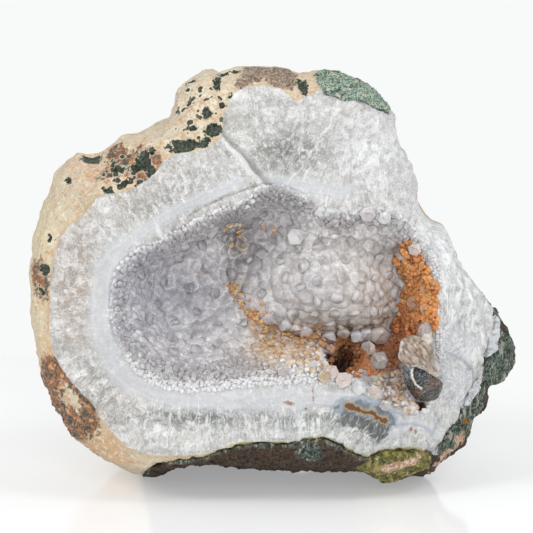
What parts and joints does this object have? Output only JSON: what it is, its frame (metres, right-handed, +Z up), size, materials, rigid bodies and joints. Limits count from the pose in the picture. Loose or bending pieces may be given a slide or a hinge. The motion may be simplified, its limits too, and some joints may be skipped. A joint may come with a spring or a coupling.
{
  "type": "quartz geode specimen with orange zeolite",
  "caption": "Broken geode half in dark basalt: white banded quartz wall round an open hollow lined with pale quartz points and an orange zeolite crust.",
  "frame": {"origin": "on the ground, under the middle of the stone's box", "axes": "+Z up, +X to the right along the length, -Y out of the open side with the hollow"},
  "size_m": [0.142, 0.073, 0.12],
  "materials": {
    "agate_wall": "broken white quartz and banded chalcedony, waxy cream skin with green and rust pits",
    "basalt": "rough dark brown host rock with green rims",
    "green_crust": "granular blue-green weathered crust",
    "quartz": "glassy, translucent pale lilac-grey points",
    "zeolite": "sugary orange crust of small blocks",
    "calcite": "glassy dark grey and smoky beige"
  },
  "bodies": {
    "root": {"geode_wall": "agate_wall", "basalt_matrix": "basalt", "green_basalt_crust": "green_crust", "quartz_druse": "quartz", "orange_zeolite": "zeolite", "calcite_crystals": "calcite"}
  },
  "joints": []
}
